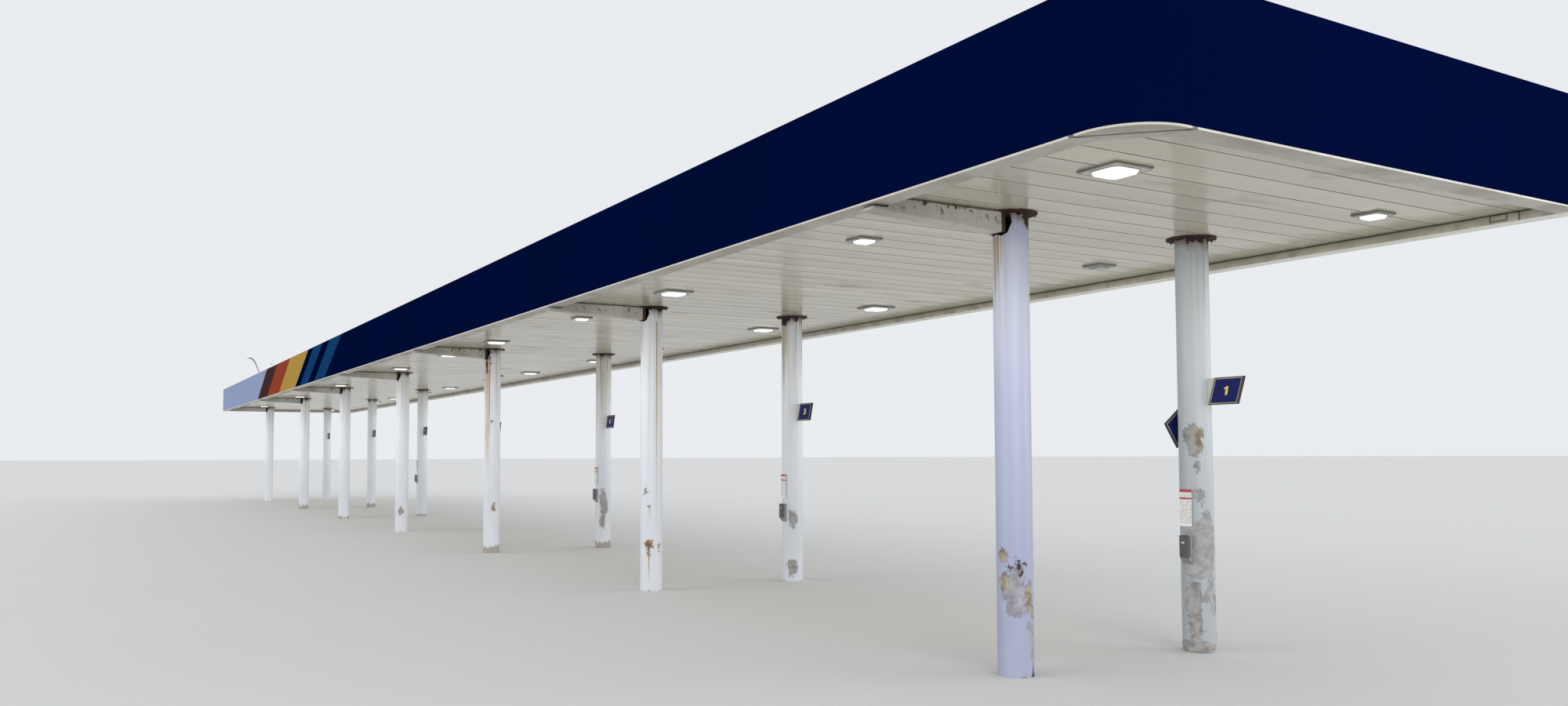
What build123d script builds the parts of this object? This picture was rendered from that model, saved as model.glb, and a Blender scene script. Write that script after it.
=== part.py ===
from build123d import *
import math
import os

os.makedirs("parts", exist_ok=True)

# Filling station canopy as a 1:2 scale model: every size is half the real one, in millimetres.
# +X runs along the canopy to its near end, -Y is the front long side, +Z is up.
# The origin is on the ground under the middle of the canopy.

# Driving dimensions: columns and bays
islands = 7
bay_pitch = 4350.0
last_bay_pitch = 5350.0
row_spacing = 1370.0
column_diameter = 183.0
column_wall = 5.0

# Driving dimensions: canopy outline
near_overhang = 1648.0
far_overhang = 1648.0
side_overhang = 917.0
corner_radius = 260.0
deck_height = 2331.0
fascia_height = 560.0

# Driving dimensions: fascia pans
fascia_depth = 30.0
fascia_sheet = 3.0
long_panel_count = 12
end_panel_count = 3
panel_joint = 2.0

# Driving dimensions: gutter
gutter_width = 110.0
gutter_drop = 50.0
gutter_sheet = 2.5
gutter_back_height = 95.0
lip_height = 9.0
lip_thickness = 2.0

# Driving dimensions: deck pans
pan_width = 203.0
pan_depth = 38.0
pan_sheet = 2.0
seam_groove = 0.8
deck_nodes = 4
pan_bearing = 14.0
hole_clearance = 2.0

# Driving dimensions: roof steel
beam_depth = 180.0
beam_flange_width = 90.0
beam_flange = 8.0
beam_web = 6.0
edge_inset = 180.0
purlin_count = 5
purlin_depth = 110.0
purlin_flange_width = 50.0
purlin_sheet = 5.0
seat_gap = 0.3

# Driving dimensions: fascia frame
frame_angle = 25.0
frame_sheet = 3.0
brace_drop = 90.0
brace_width = 20.0

# Driving dimensions: collars and drain boxes
collar_diameter = 275.0
collar_thickness = 5.0
drain_width = 100.0
drain_depth_column = 110.0
drain_drop_gutter = 24.0
drain_end_inset = 22.0
drain_slit = 9.0
drain_sheet = 2.5
drain_entry = 14.0
notch_margin = 9.0
notch_rough = 14.0

# Driving dimensions: luminaires
light_offset = 935.0
light_plate = 235.0
light_plate_thickness = 9.0
light_plate_radius = 10.0
light_plate_taper = 25.0
lens_size = 165.0
lens_depth = 15.0
lens_radius = 38.0
lens_taper = 35.0

# Smaller luminaires, as (column, side along, side across), and their share of the full size
small_light_share = 0.67
small_lights = {(0, 1, 1), (0, -1, -1), (0, -1, 1), (1, -1, -1), (2, 1, 1), (2, -1, 1)}

# Driving dimensions: number flags, which follow the rise of the paving from bay to bay
flag_width = 185.0
flag_height = 148.0
flag_slant = 45.0
flag_thickness = 17.0
flag_bottom = 1378.0
flag_standoff = 12.0
flag_bracket = 10.0
fixing_rise = 28.0

# Driving dimensions: the loose flag that hangs turned against the first back column
loose_turn = -21.0
loose_tilt = 45.0
loose_reach = 129.0
loose_height = 1277.0

# Driving dimensions: call boxes and notice plates
call_columns = 5
call_width = 62.0
call_height = 120.0
call_depth = 30.0
call_taper = 36.0
call_bottom = 492.0
call_shift = 8.0
notice_width = 80.0
notice_height = 205.0
notice_bottom = 700.0
notice_thickness = 3.0

# Driving dimensions: what stands on the front fascia, measured from the far end
trim_place = 6975.0
trim_reach = 2060.0
trim_rise = 430.0
trim_width = 62.0
trim_bow = 150.0
trim_thickness = 4.0
edge_lamp_size = 44.0
edge_lamp_arm = 26.0
twin_lamp_place = 8825.0
twin_lamp_spread = 150.0
twin_lamp_height = 85.0
twin_lamp_head = 52.0
twin_lamp_neck = 26.0
twin_lamp_mouth = 48.0
twin_lamp_tube = 14.0
twin_lamp_bar = 11.0

# Places worked out from the driving dimensions
column_run = (islands - 2) * bay_pitch + last_bay_pitch
canopy_length = column_run + near_overhang + far_overhang
x_near = canopy_length / 2
x_far = -canopy_length / 2
y_back = row_spacing / 2 + side_overhang
y_front = -y_back
front_row = -row_spacing / 2
back_row = row_spacing / 2
first_column = x_near - near_overhang
column_xs = [first_column - i * bay_pitch for i in range(islands - 1)]
column_xs.append(column_xs[-1] - last_bay_pitch)
column_radius = column_diameter / 2
column_top = deck_height + pan_depth
fascia_bottom = deck_height - gutter_drop
fascia_top = fascia_bottom + fascia_height
fascia_panel_bottom = fascia_bottom + gutter_sheet
purlin_bottom = column_top


def write(piece, name):
    """Label one finished piece and write it under its own name."""
    piece.part.label = name
    export_step(piece.part, f"parts/{name}.step")


def perimeter(inset):
    """Corners of the gutter outline, moved inwards; the near front corner is cut at 45 degrees."""
    left = x_far + inset
    right = x_near - inset
    front = y_front + inset
    back = y_back - inset
    if inset < 0:
        cut = corner_radius - inset
    else:
        cut = corner_radius - inset * (2 - math.sqrt(2))
    return [(right - cut, front), (right, front + cut), (right, back), (left, back), (left, front)]


def strip(side, outer, inner):
    """Four mitred corners of one side of the perimeter between two insets."""
    out = perimeter(outer)
    inn = perimeter(inner)
    following = (side + 1) % len(out)
    return [out[side], out[following], inn[following], inn[side]]


def gutter_side(side, outer_lip):
    """One mitred length of box gutter with its outer lip, back wall and inner wall."""
    with BuildPart() as gutter:
        with BuildSketch(Plane.XY.offset(fascia_bottom)):
            Polygon(*strip(side, 0, gutter_width), align=None)
        extrude(amount=gutter_sheet)
        with BuildSketch(Plane.XY.offset(fascia_bottom)):
            Polygon(*strip(side, gutter_width - gutter_sheet, gutter_width), align=None)
        extrude(amount=deck_height - fascia_bottom)
        with BuildSketch(Plane.XY.offset(fascia_bottom)):
            Polygon(*strip(side, fascia_depth, fascia_depth + gutter_sheet), align=None)
        extrude(amount=gutter_back_height)
        if outer_lip:
            with BuildSketch(Plane.XY.offset(fascia_bottom)):
                Polygon(*strip(side, -lip_thickness, 0), align=None)
            extrude(amount=lip_height)
    return gutter


# Rusted edge of a notch: shares of the clean notch across and up, then shares of its roughness
notch_edge = [
    (-1, 1, 0, 0), (-1, 0.5, -0.3, 0), (-1, 0, 0.2, 0.7), (-0.5, 0, 0, 0), (0, 0, 0, 0.4),
    (0.5, 0, 0, -0.35), (1, 0, -0.15, 0.55), (1, 0.5, 1, 0), (1, 1, 0.55, 0),
]


# Columns: pipes with a closed head; the front ones are notched for the drain boxes
def column(x, y, notched):
    with BuildPart() as pipe:
        with BuildSketch(Plane.XY):
            with Locations((x, y)):
                Circle(column_radius)
                Circle(column_radius - column_wall, mode=Mode.SUBTRACT)
        extrude(amount=column_top)
        with BuildSketch(Plane.XY.offset(column_top - column_wall)):
            with Locations((x, y)):
                Circle(column_radius)
        extrude(amount=column_wall)
        if notched:
            half = drain_width / 2 + notch_margin
            low = deck_height - drain_depth_column - notch_margin
            high = deck_height - seat_gap
            edge = [
                (x + half * across + notch_rough * aside, low + (high - low) * up + notch_rough * over)
                for across, up, aside, over in notch_edge
            ]
            with BuildSketch(Plane.XZ.offset(-y)):
                Polygon(*edge, align=None)
            extrude(amount=column_diameter, mode=Mode.SUBTRACT)
    return pipe


for number, x in enumerate(column_xs, start=1):
    write(column(x, front_row, True), f"column_front_{number}")
    write(column(x, back_row, False), f"column_back_{number}")


# Cross beams: one I section over each pair of columns
def i_section(depth, width, flange, web):
    with BuildSketch(Plane.XY) as section:
        Rectangle(width, flange, align=(Align.CENTER, Align.MIN))
        Rectangle(web, depth, align=(Align.CENTER, Align.MIN))
        with Locations((0, depth - flange)):
            Rectangle(width, flange, align=(Align.CENTER, Align.MIN))
    return section.sketch


purlin_reach = y_back - edge_inset
beam_half = purlin_reach + purlin_flange_width / 2
roof_plane = Plane(origin=(0, -beam_half, purlin_bottom), x_dir=(1, 0, 0), z_dir=(0, -1, 0))
with BuildPart() as cross_beams:
    with BuildSketch(roof_plane):
        with Locations(*[(x, 0) for x in column_xs]):
            add(i_section(beam_depth, beam_flange_width, beam_flange, beam_web))
    extrude(amount=-2 * beam_half)
write(cross_beams, "cross_beams")

# Purlins: light sections between the beams, along the canopy
purlin_ys = [-purlin_reach + i * 2 * purlin_reach / (purlin_count - 1) for i in range(purlin_count)]
beam_slot = beam_flange_width + 2 * seat_gap
purlin_length = canopy_length - 2 * edge_inset - purlin_flange_width - 2 * seat_gap
with BuildPart() as purlins:
    with BuildSketch(Plane(origin=(-purlin_length / 2, 0, purlin_bottom), x_dir=(0, 1, 0), z_dir=(1, 0, 0))):
        with Locations(*[(y, 0) for y in purlin_ys]):
            add(i_section(purlin_depth, purlin_flange_width, purlin_sheet, purlin_sheet))
    extrude(amount=purlin_length)
    with BuildSketch(Plane.XY.offset(purlin_bottom)):
        with Locations(*[(x, 0) for x in column_xs]):
            Rectangle(beam_slot, 2 * beam_half)
    extrude(amount=purlin_depth, mode=Mode.SUBTRACT)
write(purlins, "purlins")

# End beams: the same light section across both ends of the purlins
with BuildPart() as end_beams:
    with BuildSketch(roof_plane):
        with Locations((x_near - edge_inset, 0), (x_far + edge_inset, 0)):
            add(i_section(purlin_depth, purlin_flange_width, purlin_sheet, purlin_sheet))
    extrude(amount=-2 * beam_half)
write(end_beams, "end_beams")

# Deck pans: trays with upturned legs, locked leg to leg and laid across the canopy
deck_start = x_near - gutter_width + pan_bearing
deck_end = x_far + gutter_width - pan_bearing
deck_half = y_back - gutter_width + pan_bearing
pan_total = int(round((deck_start - deck_end) / pan_width))
pan_pitch = (deck_start - deck_end) / pan_total


def pan_outline(count):
    """Section of pans side by side: a leg pair and a fine groove at every seam."""
    points = [(0, 0)]
    for seam in range(1, count):
        x = seam * pan_pitch
        points += [(x - seam_groove, 0), (x, seam_groove), (x + seam_groove, 0)]
    points += [(count * pan_pitch, 0), (count * pan_pitch, pan_depth)]
    points += [(count * pan_pitch - pan_sheet, pan_depth), (count * pan_pitch - pan_sheet, pan_sheet)]
    for seam in range(count - 1, 0, -1):
        x = seam * pan_pitch
        points += [(x + pan_sheet, pan_sheet), (x + pan_sheet, pan_depth)]
        points += [(x - pan_sheet, pan_depth), (x - pan_sheet, pan_sheet)]
    points += [(pan_sheet, pan_sheet), (pan_sheet, pan_depth), (0, pan_depth)]
    return points


def deck_bay(first, last):
    """Pans first to last from the far end, with round holes where columns pass."""
    start = deck_end + first * pan_pitch
    end = deck_end + last * pan_pitch
    with BuildPart() as bay:
        with BuildSketch(Plane(origin=(start, -deck_half, deck_height), x_dir=(1, 0, 0), z_dir=(0, -1, 0))):
            Polygon(*pan_outline(last - first), align=None)
        extrude(amount=-2 * deck_half)
        with BuildSketch(Plane.XY.offset(deck_height)):
            with Locations(*[(x, y) for x in column_xs if start - column_radius < x < end + column_radius
                             for y in (front_row, back_row)]):
                Circle(column_radius + hole_clearance)
        extrude(amount=pan_depth, mode=Mode.SUBTRACT)
        if last == pan_total:
            cut = perimeter(gutter_width - pan_bearing)
            with BuildSketch(Plane.XY.offset(deck_height)):
                Polygon(cut[0], cut[1], (x_near, y_front), align=None)
            extrude(amount=pan_depth, mode=Mode.SUBTRACT)
    return bay


for number in range(deck_nodes):
    first = pan_total * number // deck_nodes
    last = pan_total * (number + 1) // deck_nodes
    write(deck_bay(first, last), f"deck_pans_{number + 1}")

# Gutters
gutter_names = ["gutter_corner", "gutter_near_end", "gutter_back", "gutter_far_end", "gutter_front"]
for side, name in enumerate(gutter_names):
    write(gutter_side(side, side != 0), name)

# Corner filler: the flat segment between the cut gutter and the round fascia
arc_centre = (x_near - corner_radius, y_front + corner_radius)
with BuildPart() as corner_filler:
    chord = perimeter(0)
    arc_middle = (
        arc_centre[0] + corner_radius * math.cos(math.radians(-45)),
        arc_centre[1] + corner_radius * math.sin(math.radians(-45)),
    )
    with BuildSketch(Plane.XY.offset(fascia_bottom)):
        with BuildLine():
            ThreePointArc(chord[0], arc_middle, chord[1])
            Line(chord[1], chord[0])
        make_face()
    extrude(amount=gutter_sheet)
    with BuildSketch(Plane.XY.offset(fascia_bottom)):
        with Locations(arc_centre):
            Circle(corner_radius + lip_thickness)
            Circle(corner_radius, mode=Mode.SUBTRACT)
            Rectangle(2 * corner_radius, 2 * corner_radius, align=(Align.MIN, Align.MAX), mode=Mode.INTERSECT)
    extrude(amount=lip_height)
write(corner_filler, "corner_filler")


# Fascia: flanged sheet pans in rows
def fascia_row(plane, length, count):
    """Pans side by side along the plane's x axis; the plane's z axis points into the canopy."""
    pitch = length / count
    height = fascia_top - fascia_panel_bottom
    centres = [((index + 0.5) * pitch, height / 2) for index in range(count)]
    with BuildPart() as row:
        with BuildSketch(plane):
            with Locations(*centres):
                Rectangle(pitch - panel_joint, height)
        extrude(amount=fascia_depth)
        with BuildSketch(plane.offset(fascia_sheet)):
            with Locations(*centres):
                Rectangle(pitch - panel_joint - 2 * fascia_sheet, height - 2 * fascia_sheet)
        extrude(amount=fascia_depth - fascia_sheet, mode=Mode.SUBTRACT)
    return row


# Each side's plane: x along the side, y up, z into the canopy
near_length = 2 * y_back - corner_radius - fascia_depth - panel_joint
end_length = 2 * (y_back - fascia_depth - panel_joint)
front_plane = Plane(
    origin=(x_near - corner_radius, y_front, fascia_panel_bottom), x_dir=(-1, 0, 0), z_dir=(0, 1, 0))
near_plane = Plane(
    origin=(x_near, y_back - fascia_depth - panel_joint, fascia_panel_bottom), x_dir=(0, -1, 0), z_dir=(-1, 0, 0))
back_plane = Plane(origin=(x_far, y_back, fascia_panel_bottom), x_dir=(1, 0, 0), z_dir=(0, -1, 0))
far_plane = Plane(
    origin=(x_far, y_front + fascia_depth + panel_joint, fascia_panel_bottom), x_dir=(0, 1, 0), z_dir=(1, 0, 0))
sides = {
    "front": (front_plane, canopy_length - corner_radius, long_panel_count),
    "near_end": (near_plane, near_length, end_panel_count),
    "back": (back_plane, canopy_length, long_panel_count),
    "far_end": (far_plane, end_length, end_panel_count),
}
for name, (plane, length, count) in sides.items():
    write(fascia_row(plane, length, count), f"fascia_{name}")

# Round fascia corner: one rolled pan with top and bottom flanges
with BuildPart() as fascia_corner:
    flange_heights = (fascia_panel_bottom, fascia_top - fascia_sheet)
    ring_steps = [(fascia_panel_bottom, fascia_top - fascia_panel_bottom, fascia_sheet)]
    ring_steps += [(level, fascia_sheet, fascia_depth) for level in flange_heights]
    for level, rise, depth in ring_steps:
        with BuildSketch(Plane.XY.offset(level)):
            with Locations(arc_centre):
                Circle(corner_radius)
                Circle(corner_radius - depth, mode=Mode.SUBTRACT)
                Rectangle(corner_radius, corner_radius, align=(Align.MIN, Align.MAX), mode=Mode.INTERSECT)
        extrude(amount=rise)
write(fascia_corner, "fascia_corner")


# Fascia frame: a top rail, a post behind each joint and a brace down to the edge steel
def fascia_frame(plane, length, count):
    """The steel behind one side's pans, in that side's own plane."""
    height = fascia_top - fascia_panel_bottom
    post_foot = gutter_back_height - gutter_sheet
    brace_foot = purlin_bottom + purlin_depth - fascia_panel_bottom
    brace_head = height - fascia_sheet - brace_drop
    pitch = length / count
    behind = plane.offset(fascia_depth)
    post_places = [index * pitch for index in range(1, count)]
    post_places = [frame_angle] + post_places + [length - frame_angle]
    with BuildPart() as frame:
        with BuildSketch(behind):
            with Locations((length / 2, height)):
                Rectangle(length, frame_angle, align=(Align.CENTER, Align.MAX))
        extrude(amount=frame_sheet)
        with BuildSketch(behind):
            with Locations((length / 2, height)):
                Rectangle(length, frame_sheet, align=(Align.CENTER, Align.MAX))
        extrude(amount=frame_angle)
        post_feet = [(place, post_foot) for place in post_places]
        for width, depth in ((frame_angle, frame_sheet), (frame_sheet, frame_angle)):
            with BuildSketch(behind):
                with Locations(*post_feet):
                    Rectangle(width, height - post_foot, align=(Align.CENTER, Align.MIN))
            extrude(amount=depth)
        brace_end = edge_inset - fascia_depth
        brace_planes = []
        for place in post_places[1:-1]:
            start = plane.from_local_coords(Vector(place - frame_sheet / 2, 0, fascia_depth))
            brace_planes.append(Plane(origin=start, x_dir=plane.z_dir, z_dir=-plane.x_dir))
        with BuildSketch(*brace_planes):
            Polygon(
                (frame_sheet / 2, brace_head), (frame_sheet / 2, brace_head - brace_width * 1.5),
                (brace_end - brace_width, brace_foot), (brace_end + brace_width, brace_foot), align=None)
        extrude(amount=-frame_sheet)
    return frame


for name, (plane, length, count) in sides.items():
    write(fascia_frame(plane, length, count), f"fascia_frame_{name}")

# Collars: flat rings under the deck round every column, cut for the drain boxes in front
for name, y in (("front", front_row), ("back", back_row)):
    with BuildPart() as collars:
        with BuildSketch(Plane.XY.offset(deck_height - collar_thickness)):
            with Locations(*[(x, y) for x in column_xs]):
                Circle(collar_diameter / 2)
                Circle(column_radius + seat_gap, mode=Mode.SUBTRACT)
            if name == "front":
                with Locations(*[(x, y) for x in column_xs]):
                    Rectangle(drain_width + 2 * seat_gap, collar_diameter, align=(Align.CENTER, Align.MAX),
                              mode=Mode.SUBTRACT)
        extrude(amount=collar_thickness)
    write(collars, f"collars_{name}")

# Drain boxes: open troughs that start under the gutter and fall to the notched column heads
drain_start = y_front + drain_end_inset
drain_cope = y_front + gutter_width + seat_gap
drain_end = front_row - column_radius + drain_entry
trough_rim = fascia_bottom - drain_slit
trough_side = Plane(origin=(-drain_width / 2, 0, 0), x_dir=(0, 1, 0), z_dir=(1, 0, 0))
trough_low = fascia_bottom - drain_drop_gutter
trough_deep = deck_height - drain_depth_column
with BuildPart() as drain_box:
    with BuildSketch(trough_side):
        Polygon(
            (drain_start, trough_rim), (drain_start, trough_low), (drain_end, trough_deep),
            (drain_end, deck_height - seat_gap), (drain_cope, deck_height - seat_gap), (drain_cope, trough_rim),
            align=None)
    extrude(amount=drain_width)
    with BuildSketch(trough_side.offset(drain_sheet)):
        Polygon(
            (drain_start + drain_sheet, deck_height), (drain_start + drain_sheet, trough_low + drain_sheet),
            (drain_end, trough_deep + drain_sheet), (drain_end, deck_height), align=None)
    extrude(amount=drain_width - 2 * drain_sheet, mode=Mode.SUBTRACT)
with BuildPart() as drain_boxes:
    with Locations(*[(x, 0, 0) for x in column_xs]):
        add(drain_box.part)
write(drain_boxes, "drain_boxes")

# Luminaires: a flat housing plate with a shallow lens, four round each island
light_places = {False: [], True: []}
for index, x in enumerate(column_xs):
    for along in (-1, 1):
        for across in (-1, 1):
            spot = (x + along * light_offset, across * light_offset, 0)
            light_places[(index, along, across) in small_lights].append(spot)


def squares(size, radius, level, depth, taper):
    """A downward pad with round corners at every luminaire; the smaller ones are scaled in plan."""
    with BuildPart() as pads:
        for small, places in light_places.items():
            share = small_light_share if small else 1
            with BuildPart(mode=Mode.PRIVATE) as pad:
                with BuildSketch(Plane.XY.offset(level)):
                    RectangleRounded(size * share, size * share, radius * share)
                extrude(amount=-depth, taper=taper)
            with Locations(*places):
                add(pad.part)
    return pads


write(squares(light_plate, light_plate_radius, deck_height, light_plate_thickness, light_plate_taper), "light_plates")
write(squares(lens_size, lens_radius, deck_height - light_plate_thickness, lens_depth, lens_taper), "light_lenses")

# Number flags: slanted sign boxes on the near side of the back columns, each on a bracket plate
flag_places = [(x, 0, index * fixing_rise) for index, x in enumerate(column_xs)]
flag_start = column_radius + flag_standoff
flag_top = flag_bottom + flag_height
with BuildPart() as flag:
    with BuildSketch(Plane.XZ.offset(-back_row - flag_thickness / 2)):
        Polygon(
            (flag_start, flag_bottom), (flag_start + flag_width, flag_bottom),
            (flag_start + flag_slant + flag_width, flag_top), (flag_start + flag_slant, flag_top), align=None)
    extrude(amount=flag_thickness)
with BuildPart() as number_flags:
    with Locations(*flag_places):
        add(flag.part)
write(number_flags, "number_flags")

with BuildPart() as bracket:
    with BuildSketch(Plane.XZ.offset(-back_row - flag_bracket / 2)):
        Polygon(
            (column_radius + seat_gap, flag_bottom), (flag_start, flag_bottom),
            (flag_start + flag_slant, flag_top), (column_radius + seat_gap, flag_top), align=None)
    extrude(amount=flag_bracket)
with BuildPart() as flag_brackets:
    with Locations(*flag_places):
        add(bracket.part)
write(flag_brackets, "flag_brackets")

# Loose flag: the same sign box, turned and slipped down against the far side of the first back column
loose_normal = Vector(1, 0, 0).rotate(Axis.Z, loose_turn)
loose_origin = Vector(column_xs[0], back_row, loose_height) - loose_normal * (column_radius + seat_gap)
loose_plane = Plane(origin=loose_origin, x_dir=Vector(0, 0, 1).cross(loose_normal), z_dir=loose_normal)
with BuildPart() as flag_loose:
    with BuildSketch(loose_plane):
        with Locations(Location((-loose_reach, 0, 0), (0, 0, loose_tilt))):
            Polygon(
                (-flag_slant, -flag_height), (flag_width - flag_slant, -flag_height), (flag_width, 0), (0, 0),
                align=None)
    extrude(amount=-flag_thickness)
write(flag_loose, "flag_loose")

# Call boxes and notice plates on the front of the back columns
face_y = back_row - column_radius
with BuildPart() as call_box:
    with BuildSketch(Plane(origin=(call_shift - call_width / 2, 0, 0), x_dir=(0, 1, 0), z_dir=(1, 0, 0))):
        Polygon(
            (face_y, call_bottom), (face_y - call_depth, call_bottom + call_taper),
            (face_y - call_depth, call_bottom + call_taper + call_height),
            (face_y, call_bottom + call_taper + call_height), align=None)
    extrude(amount=call_width)
with BuildPart() as call_boxes:
    with Locations(*flag_places[:call_columns]):
        add(call_box.part)
write(call_boxes, "call_boxes")

with BuildPart() as notice_plates:
    with BuildSketch(Plane.XZ.offset(-face_y)):
        with Locations(*[(x, rise + notice_bottom + notice_height / 2) for x, _, rise in flag_places[:call_columns]]):
            Rectangle(notice_width, notice_height)
    extrude(amount=notice_thickness)
write(notice_plates, "notice_plates")

# Loose trim: a torn strip of edge trim that curls up from the top of the front fascia
trim_foot = x_far + trim_place
trim_tip = (trim_foot - trim_reach, fascia_top + trim_rise)
with BuildPart() as loose_trim:
    with BuildSketch(Plane.XZ.offset(-y_front - trim_thickness)):
        with BuildLine():
            SagittaArc((trim_foot + trim_width, fascia_top), trim_tip, -trim_bow)
            SagittaArc((trim_foot, fascia_top), trim_tip, trim_width / 2 - trim_bow)
            Line((trim_foot, fascia_top), (trim_foot + trim_width, fascia_top))
        make_face()
    extrude(amount=trim_thickness)
write(loose_trim, "loose_trim")

# Edge lamp: a small flood lamp on an arm at the foot of the loose trim
lamp_y = y_front + fascia_depth / 2
lamp_x = trim_foot + trim_width + edge_lamp_size
with BuildPart() as edge_lamp:
    with BuildSketch(Plane.XY.offset(fascia_top)):
        with Locations((lamp_x, lamp_y)):
            Circle(edge_lamp_size / 4)
    extrude(amount=edge_lamp_arm)
    with BuildSketch(Plane.XY.offset(fascia_top + edge_lamp_arm)):
        with Locations((lamp_x, lamp_y)):
            RectangleRounded(edge_lamp_size, edge_lamp_size / 2, edge_lamp_size / 8)
    extrude(amount=edge_lamp_size)
write(edge_lamp, "edge_lamp")

# Twin lamp: two small flared heads on a bar and a post
twin_x = x_far + twin_lamp_place
bar_height = fascia_top + twin_lamp_height
bar_end = twin_lamp_spread / 2
head_end = bar_end + twin_lamp_head
head_outline = [(bar_end, twin_lamp_bar / 2), (bar_end, twin_lamp_neck / 2), (head_end, twin_lamp_mouth / 2)]
with BuildPart() as twin_lamp:
    with BuildSketch(Plane(origin=(twin_x, lamp_y, bar_height), x_dir=(1, 0, 0), z_dir=(0, -1, 0))):
        Polygon(
            (-head_end, 0), *[(-along, up) for along, up in reversed(head_outline)], *head_outline, (head_end, 0),
            align=None)
    revolve(axis=Axis((twin_x, lamp_y, bar_height), (1, 0, 0)))
    with BuildSketch(Plane.XY.offset(fascia_top)):
        with Locations((twin_x, lamp_y)):
            Circle(twin_lamp_tube / 2)
    extrude(amount=twin_lamp_height)
write(twin_lamp, "twin_lamp")
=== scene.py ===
import math
import random

import bpy
from mathutils import Matrix, Vector


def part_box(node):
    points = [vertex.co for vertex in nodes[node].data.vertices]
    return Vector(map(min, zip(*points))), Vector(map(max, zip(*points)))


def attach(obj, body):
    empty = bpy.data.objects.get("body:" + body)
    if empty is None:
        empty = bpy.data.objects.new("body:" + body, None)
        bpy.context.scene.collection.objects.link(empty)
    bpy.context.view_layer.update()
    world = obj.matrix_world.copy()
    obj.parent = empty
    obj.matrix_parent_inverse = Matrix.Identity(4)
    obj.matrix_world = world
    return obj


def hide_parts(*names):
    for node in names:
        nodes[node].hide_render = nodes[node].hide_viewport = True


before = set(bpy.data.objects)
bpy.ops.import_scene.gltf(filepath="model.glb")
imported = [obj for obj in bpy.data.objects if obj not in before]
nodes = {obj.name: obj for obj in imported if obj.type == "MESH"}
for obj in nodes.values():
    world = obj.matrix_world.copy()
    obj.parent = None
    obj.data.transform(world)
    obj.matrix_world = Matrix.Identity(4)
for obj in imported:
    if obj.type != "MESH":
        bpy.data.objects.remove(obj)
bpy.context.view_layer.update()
chance = random.Random(11)

# Places read from the frame, in metres: +X is the near end, -Y the front long side
islands = sum(name.startswith("column_front") for name in nodes)


def middle(name):
    """Middle of a node's box."""
    low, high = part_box(name)
    return (low + high) / 2


front_columns = [middle(f"column_front_{i + 1}") for i in range(islands)]
back_columns = [middle(f"column_back_{i + 1}") for i in range(islands)]
column_low, column_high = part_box("column_back_1")
column_radius = (column_high.x - column_low.x) / 2
column_top = column_high.z
front_row = front_columns[0].y
back_row = back_columns[0].y
fascia_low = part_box("fascia_front")[0]
fascia_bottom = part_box("gutter_front")[0].z
y_front = fascia_low.y
x_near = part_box("fascia_near_end")[1].x
x_far = fascia_low.x
y_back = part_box("fascia_back")[1].y
deck_low, deck_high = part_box("deck_pans_4")
deck_height = deck_low.z
deck_near = deck_high.x
deck_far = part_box("deck_pans_1")[0].x
corner_cut = x_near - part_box("gutter_corner")[0].x
drain_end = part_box("drain_boxes")[1].y

# Sizes of what this script adds or adds to, in metres
pan_width = 0.203
pan_leg = 0.037
pan_gap = 0.0016
pan_sheet = 0.0012
pan_round = 0.004
pan_wave = 0.0016
pan_wave_turn = 2.6
pan_stations = 14

deck_pans = round((deck_near - deck_far) / pan_width)
deck_pitch = (deck_near - deck_far) / deck_pans

# Luminaires
light_offset = 0.935
plate_size = 0.235
plate_thickness = 0.009
plate_screw = 0.100
lens_size = 0.165
lens_radius = 0.038
bezel_width = 0.007
bezel_height = 0.0035
return_inset = 0.006
return_round = 0.010
return_width = 0.0015
return_height = 0.0022
screw_radius = 0.004
screw_height = 0.002
screw_bevel = 0.0008
small_light_share = 0.67
small_lights = {(0, 1, 1), (0, -1, -1), (0, -1, 1), (1, -1, -1), (2, 1, 1), (2, -1, 1)}
light_places = [
    (column.x + along * light_offset, across * light_offset,
     small_light_share if (index, along, across) in small_lights else 1.0)
    for index, column in enumerate(front_columns)
    for along in (-1, 1)
    for across in (-1, 1)
]
unlit_place = (front_columns[0].x - light_offset, light_offset)

# Number flags
flag_width = 0.185
flag_height = 0.148
flag_slant = 0.045
flag_thickness = 0.017
flag_bottom = 1.378
flag_standoff = 0.012
fixing_rise = 0.028
loose_turn = math.radians(-21)
loose_tilt = math.radians(45)
loose_reach = 0.129
loose_height = 1.277
loose_gap = 0.0003
edge_reach = 0.0012
edge_lap = 0.005
edge_rise = 0.001
border_inset = 0.0035
border_width = 0.0045
border_rise = 0.0008
number_size = 0.066
number_weight = 0.0036
number_shear = 0.28
number_depth = 0.0006
number_rise = 0.0012
number_height = 0.048
number_stem = 0.0145
number_flick = 0.011
number_pitch = 0.040
number_lean = 0.22

# Call boxes and notice plates
call_columns = 5
call_width = 0.062
call_height = 0.120
call_depth = 0.030
call_taper = 0.036
call_bottom = 0.492
call_shift = 0.008
call_round = 0.009
cover_margin = 0.002
cover_lap = 0.014
cover_thickness = 0.004
bar_share = 0.6
bar_height = 0.018
bar_round = 0.004
bar_thickness = 0.006
bar_bevel = 0.002
bar_place = (0, -0.036, 0)
mark_width = 0.018
mark_height = 0.009
mark_thickness = 0.001
mark_place = (-0.004, 0.022, 0)
notice_bottom = 0.700
notice_height = 0.205
bay_pitch = front_columns[0].x - front_columns[1].x

# Gutter joints
gutter_width = 0.110
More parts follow.
